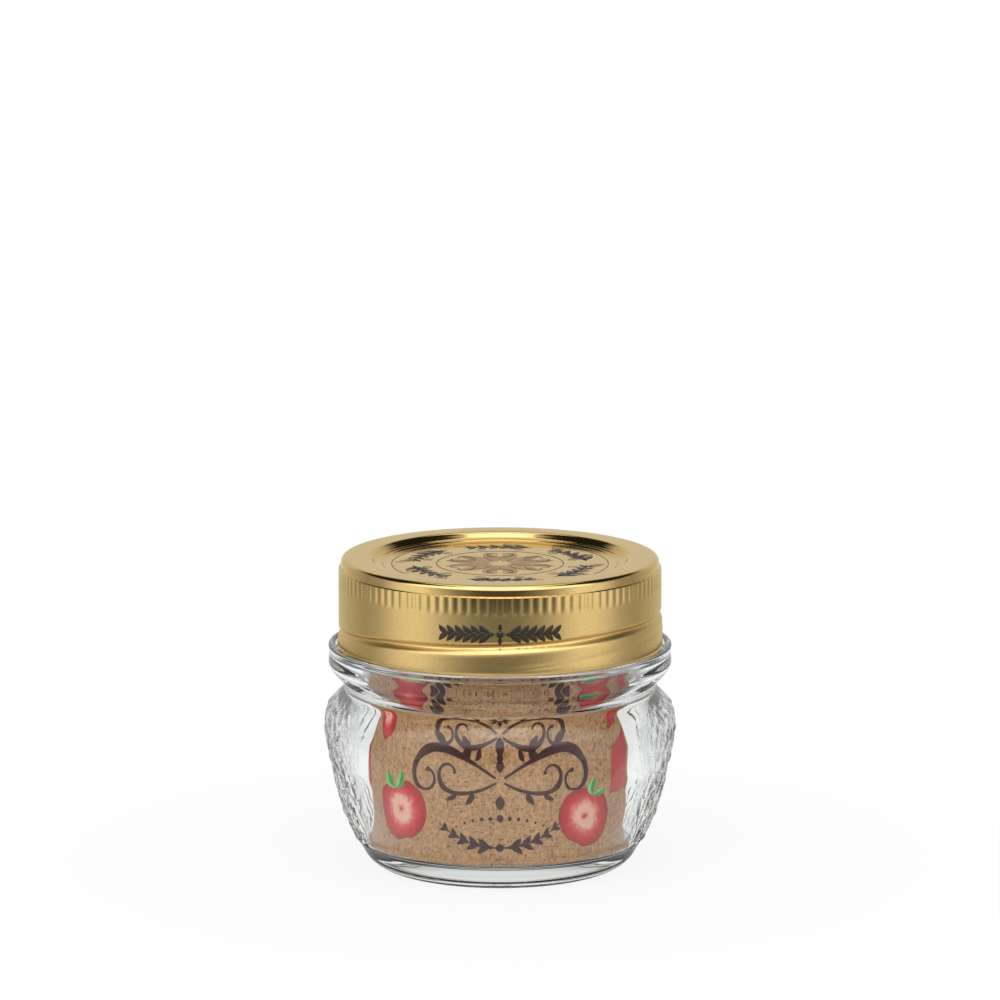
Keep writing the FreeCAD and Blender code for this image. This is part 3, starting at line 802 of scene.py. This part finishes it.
def halved_apple(centre, radius, turn=0.0, count=29, rows=15):
    """A halved apple, filled between its two outlines: sine lobes, dimpled at stalk and eye.

    Its UV is the place on the apple, from 0 to 1 each way, so its colours follow its skin.
    """
    t = np.linspace(0, np.pi, count)
    across = -np.cos(t)
    stalk_dimple = 0.26 * np.exp(-(across / 0.26) ** 2)
    eye_dimple = 0.10 * np.exp(-(across / 0.2) ** 2)
    high = np.sin(t) ** 0.75 * (1.0 + 0.06 * np.abs(across)) - stalk_dimple
    low = -np.sin(t) ** 0.85 * (0.98 - 0.10 * np.abs(across)) + eye_dimple
    flat, _ = between(np.stack([across, low], 1), np.stack([across, high], 1), rows)
    return centre + radius * (flat @ turning(turn)), flat * 0.5 + 0.5


# Centre, radius and turn of each apple, from the front round to the back on the left.
apple_places = [
    ((-24.5, 17.4), 7.4, 0.25), ((20.3, 16.4), 7.0, -0.5), ((-31.5, 34.5), 4.2, 0.4),
    ((-20.5, 50.0), 5.4, -0.3), ((21.6, 49.6), 5.2, 0.3), ((-37.0, 51.0), 5.0, 0.2),
    ((-44.5, 24.0), 5.4, -0.2), ((-56.0, 12.5), 5.2, 0.5), ((-59.0, 42.0), 6.8, 0.1),
    ((-68.5, 24.5), 6.2, -0.4), ((-75.0, 56.0), 5.2, 0.3), ((-112.0, 17.0), 6.6, 0.3),
    ((-117.0, 50.0), 6.4, -0.2), ((-126.0, 33.5), 5.2, 0.2), ((-92.6, 55.5), 4.6, 0.0),
    ((-138.0, 17.0), 5.6, -0.3)]
apples = [halved_apple(*place) for place in apple_places]

# Four-colour offset print of cut apple: by distance from the core, cream flesh, a pink
# flush and red skin, each edge made uneven by a noise.
apple_material, tree = new_material("red_and_cream_offset_ink")
uv = add_node(tree, "UVMap", uv_map="print")
centred = add_node(tree, "VectorMath", {0: uv, 1: (0.5, 0.5, 0.0)},
                   operation="SUBTRACT")
reach = add_node(tree, "VectorMath", {0: centred}, operation="LENGTH")
place = add_node(tree, "TexCoord")
streaks = add_node(tree, "TexNoise", {
    "Vector": place.outputs["Object"], "Scale": 1 / (1.1 * MM),
    "Detail": 3.0, "Roughness": 0.6})
uneven = add_node(tree, "Math", {0: streaks, 1: 0.22, 2: reach.outputs["Value"]},
                  operation="MULTIPLY_ADD")
shade = add_node(tree, "ValToRGB", {"Fac": uneven}, stops=[
    (0.12, colour("#BE2B32")), (0.18, colour("#DFA592")), (0.28, colour("#E3AE9E")),
    (0.38, colour("#D0544F")), (0.46, colour("#BE202B")), (0.62, colour("#96101C"))])
apple_ink = add_node(tree, "BsdfPrincipled", {"Base Color": shade, **OFFSET_FINISH})
add_node(tree, "OutputMaterial", {"Surface": apple_ink})
printed("leaflet_apples", apples, on_paper, 0.02, apple_material)

# Two leaves at the stalk of each apple below the neck, and a few free ones higher up.
NECK_APPLES = 45.0
leaves = []
for (x, z), radius, turn in apple_places:
    if z < NECK_APPLES:
        stalk = (x - 0.72 * radius * math.sin(turn), z + 0.72 * radius * math.cos(turn))
        upright = turn + math.pi / 2
        leaves += [leaf(stalk, 0.70 * radius, 0.32 * radius, upright + 0.45, 0.14),
                   leaf(stalk, 0.62 * radius, 0.29 * radius, upright - 0.6, -0.14)]
leaves += [leaf((-16.0, 47.6), 8.6, 2.6, math.pi - 0.1, -0.1),
           leaf((17.6, 47.0), 6.6, 2.1, 0.15, 0.1),
           leaf((-80.0, 49.5), 6.4, 2.2, 0.4, 0.1),
           leaf((-122.0, 43.0), 6.4, 2.2, 0.1, 0.1)]

# Leaf green offset ink, darker along the midrib.
leaf_material, tree = new_material("leaf_green_offset_ink")
uv = add_node(tree, "UVMap", uv_map="print")
parts = add_node(tree, "SeparateXYZ", {0: uv})
shade = add_node(tree, "ValToRGB", {"Fac": parts.outputs["Y"]}, stops=[
    (0.1, colour("#3F9A45")), (0.48, colour("#2C7A38")), (0.56, colour("#58AE57")),
    (0.9, colour("#8CC97A"))])
leaf_ink = add_node(tree, "BsdfPrincipled", {"Base Color": shade, **OFFSET_FINISH})
add_node(tree, "OutputMaterial", {"Surface": leaf_ink})
printed("leaflet_leaves", leaves, on_paper, 0.03, leaf_material)

# Plain red fields on the layer that the outer end uncovers: low edge, high edge, reach.
outer_edge = paper_radius * math.radians(OUTER_END) + 0.15
red_fields = []
for low, high, reach in ((19.5, 30.0, 11.0), (32.0, 37.5, 9.0), (44.5, 58.0, 5.0)):
    right = np.linspace(outer_edge, outer_edge + reach, 16)
    edges = [np.stack([right, np.full_like(right, level)], 1) for level in (low, high)]
    red_fields.append(between(*edges, 4))

# Red offset ink: flat and dull, a little uneven where the paper is rough.
red_ink = broken_ink("red_offset_ink", 0.4, 3.0, [(0.3, "#A81B22"), (0.7, "#C93C40")],
                     OFFSET_FINISH)
printed("leaflet_red_fields", red_fields, on_paper, 0.02, red_ink)

# ------------------------------------------------------------------------ lid print
# Ink stoved on the lacquer: dark sprays and a pale mauve-brown wash on the panel, and a
# laurel sprig on the front of the plain band.


def on_panel(grid, lift):
    """Lay (right, back) points lift mm above the panel."""
    level = np.full(grid.shape[:2], panel_level + lift)
    return np.stack([grid[..., 0], grid[..., 1], level], -1)


def on_band(grid, lift):
    """Lay (along, level) points lift mm off the skirt, along 0 at the front."""
    angle = grid[..., 0] / skirt_radius
    radius = skirt_radius + lift
    return np.stack([radius * np.sin(angle), -radius * np.cos(angle), grid[..., 1]], -1)


BAND_LEVEL = 60.5
stem = np.stack([np.linspace(0.9, 12.4, 24), np.full(24, BAND_LEVEL)], 1)
sprig = mirrored(garland(stem, 3.5, 1.95, 0.66, 0.82) + [stroke(stem, 0.13)])
sprig += [berry((0, BAND_LEVEL), 0.85), leaf((0, BAND_LEVEL + 0.7), 1.7, 0.9, math.pi / 2, 0),
          leaf((0, BAND_LEVEL - 0.7), 1.7, 0.9, -math.pi / 2, 0)]

# Brown-black stoving ink: baked on hard metal, it keeps a low gloss.
stoved_ink = broken_ink("brown_black_stoving_ink", 0.3, 2.0,
                        [(0.4, "#1D150C"), (0.8, "#3A2F1E")],
                        {"Roughness": 0.35, "Specular IOR Level": 0.35})
printed("lid_band_sprig", sprig, on_band, 0.006, stoved_ink)

# The panel: six sprays on a ring, pairs of scrolls between them, and two plain rings.
SPRAY_RING = 19.8
sprays = []
for number in range(6):
    ring = ring_path((0, 0), SPRAY_RING, SPRAY_RING, 60 * number + 8, 60 * number + 54, 40)
    sprays += garland(ring, 4.2, 2.9, 0.7, 0.7) + [stroke(ring, 0.12)]
for number in range(6):
    for hand in (-1, 1):
        curl = volute((0, 0), 0.9 * hand, 9.0, -0.05 * hand, -1.4 * hand, 60) + [6.2, 0]
        curl = curl @ turning(math.radians(60 * number + 30))
        sprays.append(stroke(curl, swell(0.34, 0.08, 0.4, 60)))
sprays += [stroke(ring_path((0, 0), radius, radius), half_width)
           for radius, half_width in ((24.6, 0.10), (14.4, 0.12))]
printed("lid_panel_sprays", sprays, on_panel, 0.012, stoved_ink)

# Under them, a rosette of twelve petals, with a spot and a small leaf beyond each.
wash = []
for petal in np.radians(np.arange(15, 375, 30)):
    outward = np.array([math.cos(petal), math.sin(petal)])
    wash += [leaf(2.2 * outward, 10.6, 3.6, petal, 0.0, 15, 7),
             berry(17.0 * outward, 1.15, 12, 5),
             leaf(21.2 * outward, 5.6, 2.2, petal + 1.2, 0.15)]

# A thin mauve-brown wash of stoving ink, which lets the metal shine through.
thin_ink = broken_ink("mauve_brown_stoving_wash", 1.6, 3.0,
                      [(0.35, "#8E7558"), (0.7, "#B39C7C")],
                      {"Metallic": 0.6, "Roughness": 0.32, "Specular Tint": colour("#E8CFA0")})
printed("lid_panel_wash", wash, on_panel, 0.004, thin_ink)

# ------------------------------------------------------------------------ table and light
# A pale table top in a white room. Four lamps light the object, and a painted room stands
# in for three of them in mirrors: a bright screen in front, a dark ceiling and a grey back.
TABLE_REACH = 130.0
TABLE_GAP = 0.02
turns = np.linspace(0, 2 * np.pi, 97)
rings = np.linspace(0.0, TABLE_REACH, 12)[:, None]
disc = np.stack([rings * np.cos(turns), rings * np.sin(turns),
                 np.full((len(rings), len(turns)), -TABLE_GAP)], -1)
table = grid_object("table_top", [disc], smooth=False)

# Pale painted board: matt, with white out at its edge where the eye or a ray through the
# glass meets it, so that it runs into the room.
table_material, tree = new_material("pale_table")
matt = add_node(tree, "BsdfDiffuse", {"Color": colour("#D0D0D0")})
white = add_node(tree, "Emission", {"Color": colour("#FFFFFF"), "Strength": 1.0})
place = add_node(tree, "TexCoord")
outward = add_node(tree, "VectorMath", {0: place.outputs["Object"]}, operation="LENGTH")
whiteness = add_node(tree, "MapRange", {
    "Value": outward.outputs["Value"], "From Min": 60 * MM, "From Max": 125 * MM,
    "To Min": 0.88, "To Max": 1.0}, interpolation_type="SMOOTHSTEP")
path = add_node(tree, "LightPath")
seen_through = add_node(tree, "Math", {0: path.outputs["Is Transmission Ray"], 1: 0.75},
                        operation="MULTIPLY")
seen = add_node(tree, "Math", {0: path.outputs["Is Camera Ray"], 1: seen_through},
                operation="MAXIMUM")
share = add_node(tree, "Math", {0: seen, 1: whiteness}, operation="MULTIPLY")
surface = add_node(tree, "MixShader", {0: share, 1: matt, 2: white})
add_node(tree, "OutputMaterial", {"Surface": surface})
table.data.materials.append(table_material)

# The room is painted by direction: X to the right, Y to the back, Z up.
world = bpy.data.worlds.new("white_room")
bpy.context.scene.world = world
world.use_nodes = True
tree = world.node_tree
tree.nodes.clear()
place = add_node(tree, "TexCoord")
parts = add_node(tree, "SeparateXYZ", {0: place.outputs["Generated"]})

# What metal and the glass's face mirror: the walls by depth, darker overhead, or the
# screen above the front, whichever is brighter.
behind = add_node(tree, "MapRange", {
    "Value": parts.outputs["Y"], "From Min": -1.0, "From Max": 1.0})
around = add_node(tree, "ValToRGB", {"Fac": behind}, stops=[
    (depth, (grey, grey, grey, 1)) for depth, grey in (
        (0.02, 0.10), (0.09, 0.40), (0.24, 1.24), (0.40, 1.04), (0.54, 0.45), (0.68, 0.38),
        (0.93, 0.74))])
ceiling = add_node(tree, "MapRange", {
    "Value": parts.outputs["Z"], "From Min": 0.42, "From Max": 0.56,
    "To Min": 1.0, "To Max": 0.04})
walls = add_node(tree, "Math", {0: around, 1: ceiling}, operation="MULTIPLY")
ahead = add_node(tree, "MapRange", {
    "Value": parts.outputs["Y"], "From Min": -0.35, "From Max": -0.05,
    "To Min": 2.15, "To Max": 0.0})
above = add_node(tree, "MapRange", {
    "Value": parts.outputs["Z"], "From Min": 0.12, "From Max": 0.36})
screen = add_node(tree, "Math", {0: ahead, 1: above}, operation="MULTIPLY")
mirror = add_node(tree, "Math", {0: walls, 1: screen}, operation="MAXIMUM")

# What shows through the glass: a grey front, and a white back wall, darker at the right
# and higher up, with a dark gap low at the left that draws streaks in the raised side.
leftward = add_node(tree, "MapRange", {
    "Value": parts.outputs["X"], "From Min": -0.60, "From Max": -0.72})
downward = add_node(tree, "MapRange", {
    "Value": parts.outputs["Z"], "From Min": -0.16, "From Max": -0.21})
low_left = add_node(tree, "Math", {0: leftward, 1: downward}, operation="MULTIPLY")
left_gap = add_node(tree, "MapRange", {"Value": low_left, "To Min": 1.0, "To Max": 0.02})
right_flag = add_node(tree, "MapRange", {
    "Value": parts.outputs["X"], "From Min": 0.66, "From Max": 0.84,
    "To Min": 1.0, "To Max": 0.45})
higher = add_node(tree, "MapRange", {
    "Value": parts.outputs["Z"], "From Min": 0.08, "From Max": 0.30,
    "To Min": 1.0, "To Max": 0.62})
flags = add_node(tree, "Math", {0: left_gap, 1: right_flag}, operation="MULTIPLY")
flagged = add_node(tree, "Math", {0: flags, 1: higher}, operation="MULTIPLY")
back_wall = add_node(tree, "MapRange", {
    "Value": parts.outputs["Y"], "From Min": -0.25, "From Max": 0.25})
through = add_node(tree, "Mix", {0: back_wall, 2: 0.40, 3: flagged}, data_type="FLOAT")

# Matt surfaces get an even light of ROOM_LIGHT, and the eye sees plain white.
ROOM_LIGHT = 0.6
path = add_node(tree, "LightPath")
first = add_node(tree, "Mix", {
    0: path.outputs["Is Transmission Ray"], 2: mirror, 3: through}, data_type="FLOAT")
scattered = add_node(tree, "Math", {0: path.outputs["Diffuse Depth"], 1: 0.5},
                     operation="GREATER_THAN")
plain = add_node(tree, "Mix", {0: scattered, 2: first, 3: ROOM_LIGHT}, data_type="FLOAT")
strength = add_node(tree, "Mix", {
    0: path.outputs["Is Camera Ray"], 2: plain, 3: 1.0}, data_type="FLOAT")
sky = add_node(tree, "Background", {"Color": (1, 1, 1, 1), "Strength": strength})
add_node(tree, "OutputWorld", {"Surface": sky})

# Lamps and camera turn about this height on the jar's axis, in metres.
AIM_HEIGHT = 0.035


def light_box(name, azimuth, elevation, distance, width, height, watts, reflected=True):
    """A rectangular lamp that faces the jar, with sizes in metres and angles in degrees.

    It stands azimuth round from the front and elevation up from the table. One that is not
    reflected only lights matt surfaces, and the white room stands in for it.
    """
    a, e = math.radians(azimuth), math.radians(elevation)
    lamp = bpy.data.lights.new(name, "AREA")
    lamp.shape = "RECTANGLE"
    lamp.size, lamp.size_y = width, height
    lamp.energy = watts
    holder = bpy.data.objects.new(name, lamp)
    holder.location = (distance * math.sin(a) * math.cos(e),
                       -distance * math.cos(a) * math.cos(e),
                       AIM_HEIGHT + distance * math.sin(e))
    holder.rotation_euler = (math.pi / 2 - e, 0, a)
    holder.visible_glossy = holder.visible_transmission = reflected
    bpy.context.scene.collection.objects.link(holder)


light_box("left_box", -50, 12, 0.8, 0.40, 0.8, 3.3, reflected=False)
light_box("right_box", 62, 12, 0.8, 0.36, 0.8, 2.5, reflected=False)
light_box("top_strip", 0, 88, 0.75, 0.46, 1.5, 2.8)
light_box("front_strip", 0, 30, 0.8, 0.34, 0.6, 1.8, reflected=False)

# ------------------------------------------------------------------------ camera
# A long lens at the level of someone seated a little above the table, aimed over the
# middle of the jar so that it stands low in the frame.
VIEW_DOWN = 12.3
VIEW_DISTANCE = 1.5
VIEW_WIDTH = 0.22805
AIM_RISE = 0.0483
SENSOR = 36.0
camera_data = bpy.data.cameras.new("camera")
camera_data.sensor_width = SENSOR
camera_data.lens = SENSOR * VIEW_DISTANCE / VIEW_WIDTH
camera_data.clip_end = 50.0
camera = bpy.data.objects.new("camera", camera_data)
down = math.radians(VIEW_DOWN)
camera.location = (0.0, -VIEW_DISTANCE * math.cos(down),
                   AIM_HEIGHT + VIEW_DISTANCE * math.sin(down))
camera.rotation_euler = (math.pi / 2 - down + math.atan(AIM_RISE / VIEW_DISTANCE), 0, 0)
bpy.context.scene.collection.objects.link(camera)
bpy.context.scene.camera = camera
bpy.context.scene.view_settings.view_transform = "Standard"
